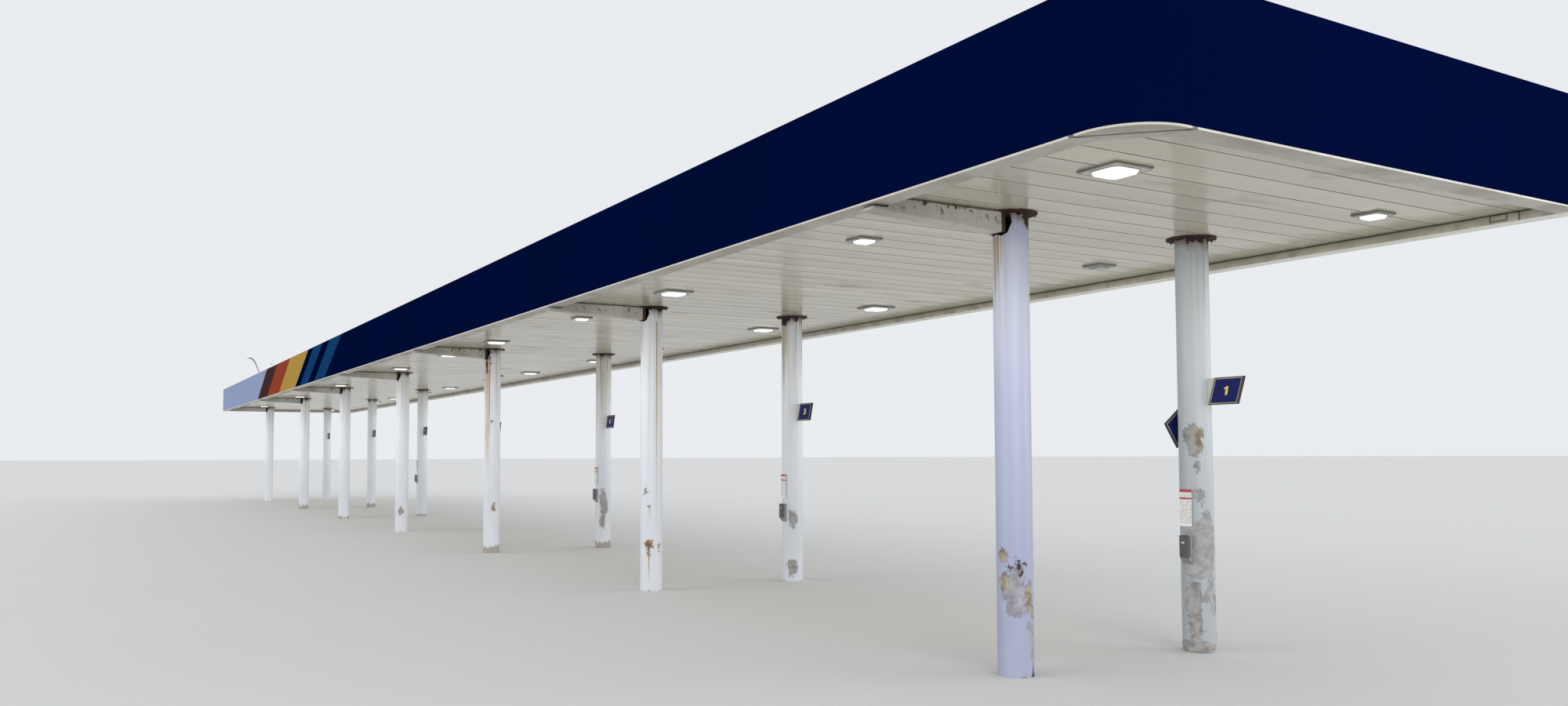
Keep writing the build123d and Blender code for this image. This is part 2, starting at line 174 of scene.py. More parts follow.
# Small plates on the back gutter's inner wall: middle along, middle level, width, height
wall_plates = [(14.811, 2.311, 0.082, 0.034), (14.912, 2.30, 0.001, 0.08), (5.09, 2.305, 0.10, 0.045)]
strap_width = 0.040
strap_thickness = 0.0012
strap_bevel = 0.0005
joint_margin = 0.003
bead_start = 0.004
bead_width = 0.009
splice_pitch = 2.5
splice_shift = 0.4
rivet_rows = (-0.035, 0, 0.035)
rivet_share = 0.3
rivet_radius = 0.0028
rivet_height = 0.0012
rivet_bevel = 0.0008

# Roof steel and collars
beam_flange = 0.008
bolt_across = 0.028
bolt_along = 0.055
washer_radius = 0.011
washer_top = 0.0015
nut_radius = 0.0075
nut_top = 0.0075
nut_bevel = 0.0008
stud_radius = 0.004
stud_top = 0.013
stud_bevel = 0.0006
collar_radius = 0.1375
collar_thickness = 0.005
flake_count = 16
flake_sizes = (0.006, 0.017)
flake_inset = 0.003
flake_root = 0.001
flake_thickness = 0.001
trough_gap = 0.12

# The camera, in pixels of the photograph, metres from the first front column's foot and radians
photo_width = 2000
photo_height = 900
focal_pixels = 1482.2
centre_column_pixel = 987.4
centre_row_pixel = 505.1
camera_from_column = Vector((4.440, -4.054, 1.106))
camera_yaw = 0.5374
camera_pitch = 0.0504
camera_roll = -0.0031
sensor = 36.0
view_reach = 500
floor_size = 800

# Heights between which painted light on the columns starts, and between which it ends
painted_light_rise = (1.35, 1.95)
painted_light_fall = (2.24, 2.12)

# Paint colours, linear
white_paint = (0.70, 0.72, 0.75)
cream_paint = (0.66, 0.65, 0.60)
gutter_white = (0.72, 0.71, 0.66)
navy = (0.0003, 0.0026, 0.024)
rust_dark = (0.035, 0.016, 0.009)
rust_brown = (0.16, 0.07, 0.03)
steel = (0.34, 0.35, 0.35)

# Slanted bands on the fascia, each from its near edge towards the far end
band_slant = 2.4
fascia_bands = [
    (-0.6, (0.005, 0.040, 0.12)), (-1.5, navy), (-2.1, (0.005, 0.040, 0.12)), (-2.9, navy),
    (-3.4, (0.36, 0.23, 0.05)), (-5.3, (0.24, 0.045, 0.022)), (-6.9, (0.045, 0.022, 0.022)),
    # The last, pale blue-grey band is painted blue light and reflection on the far panels
    (-8.3, (0.24, 0.29, 0.44)),
]


def link(name, data):
    """A new object in the scene."""
    made = bpy.data.objects.new(name, data)
    bpy.context.scene.collection.objects.link(made)
    return made


class Finish:
    """A node material with short names for the nodes it uses; lengths are in metres."""

    def __init__(self, name, colour, roughness, metallic=0.0, specular=0.5):
        self.material = bpy.data.materials.new(name)
        self.material.use_nodes = True
        self.tree = self.material.node_tree
        self.shader = self.tree.nodes["Principled BSDF"]
        self.colour = colour
        self.shader.inputs["Base Color"].default_value = (*colour, 1)
        self.shader.inputs["Roughness"].default_value = roughness
        self.shader.inputs["Metallic"].default_value = metallic
        self.shader.inputs["Specular IOR Level"].default_value = specular
        self.coordinates = self.add("ShaderNodeTexCoord")
        self.place = self.coordinates.outputs["Object"]
        split = self.add("ShaderNodeSeparateXYZ")
        self.join(self.place, split.inputs[0])
        self.x, self.y, self.z = split.outputs

    def add(self, kind, **settings):
        node = self.tree.nodes.new(kind)
        for key, value in settings.items():
            setattr(node, key, value)
        return node

    def join(self, source, target):
        if isinstance(source, bpy.types.NodeSocket):
            self.tree.links.new(source, target)
        elif isinstance(source, tuple):
            missing = len(target.default_value) - len(source)
            target.default_value = source + (1,) * missing
        else:
            target.default_value = source

    def math(self, operation, a, b=0.0, clamp=False):
        node = self.add("ShaderNodeMath", operation=operation, use_clamp=clamp)
        self.join(a, node.inputs[0])
        self.join(b, node.inputs[1])
        return node.outputs[0]

    def plus(self, a, b):
        return self.math("ADD", a, b)

    def minus(self, a, b, clamp=False):
        return self.math("SUBTRACT", a, b, clamp)

    def times(self, a, b):
        return self.math("MULTIPLY", a, b)

    def absolute(self, a):
        return self.math("ABSOLUTE", a)

    def step(self, value, low, high):
        """0 below low and 1 above high, smoothly between; high may be the smaller one."""
        node = self.add("ShaderNodeMapRange", interpolation_type="SMOOTHSTEP")
        self.join(value, node.inputs[0])
        node.inputs[1].default_value = low
        node.inputs[2].default_value = high
        return node.outputs[0]

    def noise(self, scale, stretch=(1, 1, 1), shift=0.0, detail=4.0, rough=0.55):
        mapping = self.add("ShaderNodeMapping")
        self.join(self.place, mapping.inputs[0])
        mapping.inputs["Location"].default_value = (shift, shift * 0.7, shift * 0.3)
        mapping.inputs["Scale"].default_value = stretch
        node = self.add("ShaderNodeTexNoise")
        self.join(mapping.outputs[0], node.inputs["Vector"])
        node.inputs["Scale"].default_value = scale
        node.inputs["Detail"].default_value = detail
        node.inputs["Roughness"].default_value = rough
        return node.outputs[0]

    def random_of(self, value):
        """A number from 0 to 1 for each whole step of the value."""
        node = self.add("ShaderNodeTexWhiteNoise", noise_dimensions="1D")
        self.join(self.math("FLOOR", value), node.inputs["W"])
        return node.outputs[0]

    def nearest(self, angle, spots):
        """Distance to the nearest of some ovals on a pipe, less than 0 inside them.

        Each is (angle, height, half width as an angle, half height).
        """
        least = 1.0
        for turn, height, wide, tall in spots:
            along = self.math("DIVIDE", self.minus(angle, turn), wide)
            above = self.math("DIVIDE", self.minus(self.z, height), tall)
            square = self.plus(self.times(along, along), self.times(above, above))
            size = min(wide * column_radius, tall)
            away = self.times(self.minus(self.math("SQRT", square), 1.0), size)
            least = self.math("MINIMUM", least, away)
        return least

    def outward(self):
        """More than 0 on walls that face out of the canopy and less than 0 on walls that face its middle."""
        normal = self.add("ShaderNodeSeparateXYZ")
        self.join(self.coordinates.outputs["Normal"], normal.inputs[0])
        facing = 0.0
        for value, turned, low, high in (
            (self.x, normal.outputs[0], x_far + corner_cut, x_near - corner_cut),
            (self.y, normal.outputs[1], y_front + corner_cut, y_back - corner_cut),
        ):
            beyond = self.minus(value, self.math("MINIMUM", self.math("MAXIMUM", value, low), high))
            facing = self.plus(facing, self.times(beyond, turned))
        return facing

    def mix(self, share, a, b):
        node = self.add("ShaderNodeMix", data_type="RGBA")
        self.join(share, node.inputs[0])
        self.join(a, node.inputs[6])
        self.join(b, node.inputs[7])
        return node.outputs[2]

    def paint(self, colour):
        self.colour = colour
        self.join(colour, self.shader.inputs["Base Color"])

    def lay(self, share, colour, strength=1.0):
        """One more colour over the paint so far, where share is more than 0."""
        self.paint(self.mix(self.times(share, strength), self.colour, colour))

    def gloss(self, value):
        self.join(value, self.shader.inputs["Roughness"])

    def bump(self, height, strength=0.5, distance=0.001):
        node = self.add("ShaderNodeBump")
        node.inputs["Strength"].default_value = strength
        node.inputs["Distance"].default_value = distance
        self.join(height, node.inputs["Height"])
        if self.shader.inputs["Normal"].is_linked:
            self.join(self.shader.inputs["Normal"].links[0].from_socket, node.inputs["Normal"])
        self.join(node.outputs[0], self.shader.inputs["Normal"])


def dress(name, finish):
    """Give a CAD node its finish."""
    slots = nodes[name].data.materials
    slots.clear()
    slots.append(finish.material)


def piece(name, shape, finish):
    """A mesh piece that rides on the structure."""
    mesh = bpy.data.meshes.new(name)
    mesh.from_pydata(shape.points, [], shape.faces)
    mesh.validate()
    mesh.update()
    mesh.materials.append(finish.material)
    made = link(name, mesh)
    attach(made, "root")
    return made


def inset(outline, distance):
    """A convex outline moved inwards; its points run anticlockwise."""
    moved = []
    count = len(outline)
    for i in range(count):
        before = Vector(outline[i - 1])
        here = Vector(outline[i])
        after = Vector(outline[(i + 1) % count])
        first = (here - before).normalized()
        second = (after - here).normalized()
        inward = Vector((-first.y, first.x)) + Vector((-second.y, second.x))
        moved.append(tuple(here + inward * distance / (1 + first.dot(second))))
    return moved


def rectangle(width, height):
    x = width / 2
    y = height / 2
    return [(-x, -y), (x, -y), (x, y), (-x, y)]


def circle(radius, count, start=0.0):
    turns = [start + 2 * math.pi * i / count for i in range(count)]
    return [(radius * math.cos(a), radius * math.sin(a)) for a in turns]


def rounded_box(width, height, radius, steps=5):
    """A rectangle with round corners."""
    points = []
    for corner, (side, end) in enumerate(((1, 1), (-1, 1), (-1, -1), (1, -1))):
        for i in range(steps + 1):
            turn = (corner + i / steps) * math.pi / 2
            x = side * (width / 2 - radius) + radius * math.cos(turn)
            points.append((x, end * (height / 2 - radius) + radius * math.sin(turn)))
    return points


def rounded(size, radius):
    """A square with round corners."""
    return rounded_box(size, size, radius)


def axes(origin, across, upward):
    """A placing matrix from its origin and its first two axes."""
    across = Vector(across).normalized()
    upward = Vector(upward).normalized()
    turn = Matrix((across, upward, across.cross(upward))).transposed().to_4x4()
    return Matrix.Translation(Vector(origin)) @ turn


class Shape:
    """Points and faces of many like solids, gathered for one mesh."""

    def __init__(self):
        self.points = []
        self.faces = []

    def loop(self, rings):
        """Skin between rings that close on themselves, as a frame or a tube round a hole."""
        start = len(self.points)
        count = len(rings[0])
        for ring in rings:
            self.points += [tuple(p) for p in ring]
        for k in range(len(rings)):
            here = start + k * count
            there = start + (k + 1) % len(rings) * count
            for i in range(count):
                j = (i + 1) % count
                self.faces.append((here + i, here + j, there + j, there + i))

    def band(self, outer, inner, turn, low, high):
        """A flat frame between two outlines, from low to high along the third axis of turn."""
        self.loop([
            [turn @ Vector((*out, low)), turn @ Vector((*out, high)), turn @ Vector((*inn, high)),
             turn @ Vector((*inn, low))]
            for out, inn in zip(outer, inner)
        ])

    def prism(self, outline, turn, low, high, bevel=0.0):
        """An outline pushed from low to high along the third axis of turn, with its high edge bevelled."""
        rings = [(outline, low), (outline, high - bevel)]
        if bevel:
            rings.append((inset(outline, bevel), high))
        self.solid([[turn @ Vector((*p, level)) for p in ring] for ring, level in rings])

    def solid(self, rings):
        """Skin between rings of equally many points, with flat ends."""
        start = len(self.points)
        count = len(rings[0])
        for ring in rings:
            self.points += [tuple(p) for p in ring]
        for k in range(len(rings) - 1):
            low = start + k * count
            for i in range(count):
                j = (i + 1) % count
                self.faces.append((low + i, low + j, low + count + j, low + count + i))
        self.faces.append(tuple(start + i for i in reversed(range(count))))
        last = start + (len(rings) - 1) * count
        self.faces.append(tuple(last + i for i in range(count)))


# Deck pans: separate trays with rounded edges, a narrow open joint and slight waves
def pan_section(width):
    """Closed section of one pan from its left leg to its right leg, as (across, up)."""
    turns = (0, math.pi / 4, math.pi / 2)
    arc = [(pan_round * (1 - math.cos(a)), pan_round * (1 - math.sin(a))) for a in turns]
    outer = [(pan_gap, pan_leg)] + [(pan_gap + x, z) for x, z in arc]
    outer += [(width * share, 0) for share in (0.3, 0.5, 0.7)]
    outer += [(width - pan_gap - x, z) for x, z in reversed(arc)] + [(width - pan_gap, pan_leg)]
    left = pan_gap + pan_sheet
    inner = [(min(max(x, left), width - left), max(z, pan_sheet)) for x, z in outer]
    return outer + inner[::-1]


def deck_front(x):
    """Front end of the deck at x, cut back at the round corner."""
    edge = x_near - deck_near
    cut = corner_cut - edge * (2 - math.sqrt(2))
    return max(deck_low.y, deck_low.y + x - (deck_near - cut))


def make_deck(finish):
    width = deck_pitch
    section = pan_section(width)
    deck = Shape()
    for index in range(deck_pans):
        left = deck_far + index * width
        phase = chance.uniform(0, 6.28)
        pull = chance.uniform(0.3, 1.0)
        rings = []
        for station in range(pan_stations):
            share = station / (pan_stations - 1)
            ring = []
            for across, up in section:
                x = left + across
                start = deck_front(x)
                y = start + (deck_high.y - start) * share
                crown = math.sin(math.pi * across / width) ** 2
                wave = pan_wave * pull * (1 + math.sin(phase + y * pan_wave_turn + index)) * crown
                ring.append((x, y, deck_height + up + (wave if up < pan_leg / 2 else 0)))
            rings.append(ring)
        deck.solid(rings)
    made = piece("deck_panels", deck, finish)
    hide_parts(*[f"deck_pans_{i + 1}" for i in range(4)])


# Luminaires: a bezel round each lens, a return on the plate and four screws
def make_bezels(finish, screw_finish):
    bezels = Shape()
    screws = Shape()
    for x, y, share in light_places:
        down = axes((x, y, deck_height - plate_thickness), (1, 0, 0), (0, -1, 0))
        width = bezel_width * share
        outer = rounded(lens_size * share + 2 * width, lens_radius * share + width)
        bezels.band(outer, rounded(lens_size * share, lens_radius * share), down, 0, bezel_height)
        edge = rounded(plate_size * share - 2 * return_inset, return_round)
        bezels.band(edge, inset(edge, return_width), down, 0, return_height)
        reach = plate_screw * share
        for side in (-1, 1):
            for end in (-1, 1):
                spot = down @ Matrix.Translation((side * reach, end * reach, 0))
                screws.prism(circle(screw_radius, 8), spot, 0, screw_height, screw_bevel)
    piece("light_bezels", bezels, finish)
    piece("light_screws", screws, screw_finish)


# Call boxes: a rounded cover on each, with a bar below and a small pale mark above
def make_covers(finish, mark_finish):
    covers = Shape()
    marks = Shape()
    for index, centre in enumerate(back_columns[:call_columns]):
        height = call_bottom + call_taper + call_height / 2 + index * fixing_rise
        front = Vector((centre.x + call_shift, back_row - column_radius - call_depth, height))
        place = axes(front, (1, 0, 0), (0, 0, 1))
        outline = rounded_box(call_width + 2 * cover_margin, call_height + 2 * cover_margin, call_round)
        covers.prism(outline, place, -cover_lap, cover_thickness, cover_thickness)
        low = place @ Matrix.Translation(bar_place)
        bar = rounded_box(call_width * bar_share, bar_height, bar_round)
        covers.prism(bar, low, 0, bar_thickness, bar_bevel)
        high = place @ Matrix.Translation(mark_place)
        mark = rectangle(mark_width, mark_height)
        marks.prism(mark, high, cover_thickness, cover_thickness + mark_thickness)
    piece("call_box_covers", covers, finish)
    piece("call_box_marks", marks, mark_finish)


# Number flags: a metal edge, its black partly painted shade on the sides, a thin border on both faces and a
# plain number
def number_mesh(text, place):
    """Points and faces of a raised slanted number centred on its place."""
    curve = bpy.data.curves.new("number", "FONT")
    curve.body = text
    curve.size = number_size
    curve.shear = number_shear
    curve.extrude = number_depth
    curve.offset = number_weight
    curve.align_x = "CENTER"
    curve.align_y = "CENTER"
    writing = link("number_curve", curve)
    bpy.context.view_layer.update()
    mesh = bpy.data.meshes.new_from_object(writing.evaluated_get(bpy.context.evaluated_depsgraph_get()))
    points = [tuple(place @ v.co) for v in mesh.vertices]
    faces = [tuple(f.vertices) for f in mesh.polygons]
    bpy.data.objects.remove(writing)
    bpy.data.meshes.remove(mesh)
    return points, faces


def make_flags(edge_finish, border_finish, number_finish):
    edges = Shape()
    borders = Shape()
    numbers = Shape()
    leaning = [(0, 0), (flag_width, 0), (flag_width + flag_slant, flag_height), (flag_slant, flag_height)]
    mirrored = [(-x, y) for x, y in reversed(leaning)]
    faces = []
    for index, centre in enumerate(back_columns):
        level = flag_bottom + index * fixing_rise
        corner = Vector((centre.x + column_radius + flag_standoff, centre.y, level))
        half = Vector((0, flag_thickness / 2, 0))
        front = axes(corner - half, (1, 0, 0), (0, 0, 1))
        back = axes(corner + half, (-1, 0, 0), (0, 0, 1))
        faces.append((front, leaning, str(2 * index + 1), True))
        faces.append((back, mirrored, str(2 * index + 2), False))
    normal = Vector((math.cos(loose_turn), math.sin(loose_turn), 0))
    side = Vector((0, 0, 1)).cross(normal)
    seat = Vector((back_columns[0].x, back_row, loose_height)) - normal * (column_radius + loose_gap)
    hang = axes(seat, side, (0, 0, 1)) @ Matrix.Translation((-loose_reach, 0, 0))
    hang = hang @ Matrix.Rotation(loose_tilt, 4, "Z") @ Matrix.Translation((-flag_slant, -flag_height, 0))
    behind = hang @ Matrix.Translation((0, 0, -flag_thickness)) @ Matrix.Rotation(math.pi, 4, "Y")
    faces.append((hang, leaning, "", True))
    faces.append((behind, mirrored, "1", False))
    for place, outline, text, first in faces:
        if first:
            outer = inset(outline, -edge_reach)
            edges.band(outer, inset(outline, edge_lap), place, -flag_thickness - edge_rise, edge_rise)
        outer = inset(outline, border_inset)
        borders.band(outer, inset(outer, border_width), place, 0, border_rise)
        centre = sum((Vector(p) for p in outline), Vector((0, 0))) / 4
        # A figure 1 is a slanted stem with a flick, and the others come from a font
        for order, figure in enumerate(text):
            if figure != "1":
                continue
            shift = (order - (len(text) - 1) / 2) * number_pitch - number_stem / 2
            spot = place @ Matrix.Translation((centre.x + shift, centre.y - number_height / 2, 0))
            lean = Matrix.Shear("XY", 4, (0, 0))
            lean[0][1] = number_lean
            for part in (
                [(0, 0), (number_stem, 0), (number_stem, number_height), (0, number_height)],
                [(-number_flick, number_height * 0.66), (0.0005, number_height * 0.74),
                 (0.0005, number_height * 0.97), (-number_flick, number_height * 0.84)],
            ):
                numbers.prism(part, spot @ lean, 0, number_rise)
        text = text.replace("1", " ")
        if text.strip():
            spot = place @ Matrix.Translation((centre.x, centre.y, 0))
            points, quads = number_mesh(text, spot)
            start = len(numbers.points)
            numbers.points += points
            numbers.faces += [tuple(start + i for i in quad) for quad in quads]
    piece("flag_edges", edges, edge_finish)
    piece("flag_borders", borders, border_finish)
    piece("flag_numbers", numbers, number_finish)


# Gutter: sealed mitres, splice straps with rivets and straps on the inner walls
def make_gutter_joints(finish, rivet_finish):
    straps = Shape()
    rivets = Shape()
    level = fascia_bottom - strap_thickness
    mitre = math.tan(math.pi / 8)
    corners = [
        ((x_near, y_back), (-1, -1)), ((x_far, y_back), (1, -1)), ((x_far, y_front), (1, 1)),
        ((x_near - corner_cut, y_front), (mitre, 1)), ((x_near, y_front + corner_cut), (-1, -mitre)),
    ]
    for (x, y), (along, across) in corners:
        reach = gutter_width * math.hypot(along, across)
        place = axes((x, y, level), (along, across, 0), (-across, along, 0))
        stop = reach - joint_margin
        half = bead_width / 2
        bead = [(bead_start, -half), (stop, -half), (stop, half), (bead_start, half)]
        straps.prism(bead, place, 0, strap_thickness)
    count = round((x_near - x_far) / splice_pitch)
    for side in (-1, 1):
        edge = y_front if side < 0 else y_back
        for index in range(1, count):
            x = x_far + index * (x_near - x_far) / count + side * splice_shift
            y = edge - side * gutter_width / 2
            turn = axes((x, y, fascia_bottom), (1, 0, 0), (0, -1, 0))
            strap = rectangle(strap_width, gutter_width - 2 * joint_margin)
            straps.prism(strap, turn, 0, strap_thickness, strap_bevel)
            for hand in (-1, 1):
                for row in rivet_rows:
                    seat = (hand * strap_width * rivet_share, row, strap_thickness)
                    spot = turn @ Matrix.Translation(seat)
                    rivets.prism(circle(rivet_radius, 8), spot, 0, rivet_height, rivet_bevel)
            centre = Vector((x, edge - side * gutter_width, (fascia_bottom + deck_height) / 2))
            wall = axes(centre, (side, 0, 0), (0, 0, 1))
            upright = rectangle(strap_width, deck_height - fascia_bottom - 2 * joint_margin)
            straps.prism(upright, wall, 0, strap_thickness, strap_bevel)
    piece("gutter_straps", straps, finish)
    piece("gutter_rivets", rivets, rivet_finish)


# Roof steel: bolts through the beams' lower flanges into the column heads
def make_bolts(finish):
    bolts = Shape()
    for centre in front_columns + back_columns:
        for across in (-bolt_across, bolt_across):
            for along in (-bolt_along, bolt_along):
                spot = Matrix.Translation((centre.x + across, centre.y + along, column_top + beam_flange))
                bolts.prism(circle(washer_radius, 16), spot, 0, washer_top)
                nut = circle(nut_radius, 6, chance.uniform(0, 1))
                bolts.prism(nut, spot, washer_top, nut_top, nut_bevel)
                bolts.prism(circle(stud_radius, 10), spot, nut_top, stud_top, stud_bevel)
    piece("head_bolts", bolts, finish)


# Rust scale: torn flakes along the rims of the collars, none at a front one's trough
def make_flakes(finish):
    flakes = Shape()
    for centre in front_columns + back_columns:
        for _ in range(flake_count):
            turn = chance.uniform(0, 2 * math.pi)
            if centre.y < 0 and abs(math.sin(turn) + 1) < trough_gap:
                continue
            size = chance.uniform(*flake_sizes)
            rim = Vector((math.cos(turn), math.sin(turn), 0))
            base = Vector((centre.x, centre.y, deck_height - collar_thickness))
            base += rim * (collar_radius - flake_inset)
            tip = (rim * chance.uniform(-0.2, 0.5) - Vector((0, 0, 1))).normalized()
            place = axes(base, rim.cross(Vector((0, 0, 1))), tip)
            root = -flake_root / size
            outline = [(-0.6, root), (0.6, root), (0.35, chance.uniform(0.3, 0.7)),
                       (chance.uniform(-0.2, 0.2), 0.8), (-0.5, 0.3)]
            outline = [(x * size, y * size) for x, y in outline]
            flakes.prism(outline, place, -flake_thickness / 2, flake_thickness / 2)
    piece("rust_flakes", flakes, finish)


# Finishes
def deck_finish():
    f = Finish("deck_paint", cream_paint, 0.25, specular=0.3)
    pan = f.math("DIVIDE", f.minus(f.x, deck_far), deck_pitch)
    f.paint(f.mix(f.random_of(pan), (0.53, 0.485, 0.375), (0.66, 0.61, 0.48)))
    cloud = f.step(f.noise(0.9, stretch=(1, 0.7, 1), detail=3), 0.4, 0.7)
    f.lay(cloud, (0.50, 0.46, 0.38), 0.22)
    grime = f.step(f.noise(3.2, stretch=(2.2, 0.7, 1), shift=2, detail=7), 0.56, 0.78)
    f.lay(grime, (0.34, 0.31, 0.25), 0.38)
    fleck = f.step(f.noise(17, stretch=(1.5, 0.7, 1), shift=6, detail=3), 0.68, 0.74)
    f.lay(fleck, (0.26, 0.22, 0.17), 0.35)
    seam = f.absolute(f.minus(f.math("FRACT", pan), 0.5))
    patchy = f.step(f.noise(1.9, stretch=(1, 1.2, 1), shift=9, detail=5), 0.35, 0.7)
    smear = f.times(f.step(seam, 0.43, 0.495), f.times(patchy, 0.40))
    f.lay(smear, (0.30, 0.27, 0.22))
    # Painted highlight: a lighter line along the rounded edge of each pan
    painted_ridge_highlight = f.step(f.absolute(f.minus(seam, 0.445)), 0.03, 0.012)
    f.lay(painted_ridge_highlight, (0.74, 0.70, 0.59), 0.35)
    line = f.times(f.step(seam, 0.470, 0.484), f.plus(f.times(patchy, 0.3), 0.6))
    f.lay(line, (0.13, 0.12, 0.10))
    f.gloss(f.plus(f.times(grime, 0.25), 0.16))
    f.bump(f.noise(1.5, stretch=(3, 0.8, 1), detail=1), 0.35, 0.006)
    return f


def gutter_finish():
    """Pale underside, outer lip, and a dirty inner wall with painted shade towards the soffit, a painted
    shadow line along its top and the outlines of its small plates.
    """
    f = Finish("gutter_paint", gutter_white, 0.4)
    grime = f.step(f.noise(2.2, detail=7), 0.40, 0.72)
    f.paint(f.mix(f.times(grime, 0.6), (0.47, 0.44, 0.365), (0.31, 0.28, 0.225)))
    rear = f.step(f.y, y_back - gutter_width - 0.02, y_back - gutter_width)
    f.lay(rear, (0.86, 0.84, 0.74))
    facing = f.outward()
    # Painted shade: the inner wall darker towards the soffit
    rise = f.step(f.z, fascia_bottom + 0.045, fascia_bottom)
    wall = f.mix(rise, (0.44, 0.41, 0.34), (0.74, 0.71, 0.61))
    wall = f.mix(f.times(f.step(f.noise(7, detail=7), 0.42, 0.70), 0.7), wall, (0.34, 0.31, 0.25))
    for x, z, width, height in wall_plates:
        across = f.minus(f.absolute(f.minus(f.x, x)), width / 2)
        upward = f.minus(f.absolute(f.minus(f.z, z)), height / 2)
        outline = f.step(f.absolute(f.math("MAXIMUM", across, upward)), 0.006, 0.003)
        wall = f.mix(f.times(outline, 0.75), wall, (0.07, 0.06, 0.05))
    f.lay(f.step(facing, -0.02, -0.04), wall)
    lip = f.mix(f.times(grime, 0.5), (0.56, 0.54, 0.46), (0.42, 0.38, 0.31))
    f.lay(f.step(facing, 0.02, 0.04), lip)
    # Painted shadow: a near-black line along the gutter's top where it meets the soffit
    under = f.step(f.minus(f.z, f.times(f.noise(9), 0.008)), deck_height - 0.015, deck_height - 0.011)
    f.lay(under, (0.035, 0.028, 0.02), 0.85)
    spots = f.step(f.noise(26, detail=2), 0.66, 0.72)
    f.lay(spots, (0.20, 0.13, 0.085), 0.5)
    chord = f.minus(f.minus(f.x, f.y), x_near - corner_cut - y_front)
    crack = f.step(f.absolute(chord), 0.017, 0.011)
    f.lay(crack, (0.05, 0.045, 0.04), 0.9)
    f.gloss(f.plus(f.times(grime, 0.2), 0.3))
    f.bump(f.noise(3, detail=3), 0.35, 0.004)
    return f


def fascia_finish():
    """Gloss panels: navy along the canopy, slanted generic bands, then pale blue-grey panels to the far end,
    their colour painted blue light and reflection.
    """
    f = Finish("fascia_paint", navy, 0.4, specular=0.0)
    slant = f.minus(f.x, f.times(f.minus(f.z, fascia_bottom), band_slant))
    f.paint(f.mix(f.noise(0.6, detail=3), navy, (0.0005, 0.0042, 0.037)))
    for end, paint in fascia_bands:
        f.lay(f.step(slant, end, end - 0.006), paint)
    # Bare backs, which face the middle of the canopy
    bare = f.step(f.outward(), -0.01, -0.02)
    back = f.mix(f.noise(6, detail=5), (0.40, 0.41, 0.41), (0.52, 0.53, 0.53))
    f.lay(bare, back)
    f.gloss(f.plus(f.times(f.noise(5, detail=5), 0.16), 0.24))
    f.bump(f.noise(1.3, stretch=(1, 1, 1.6), detail=2), 0.25, 0.012)
    return f


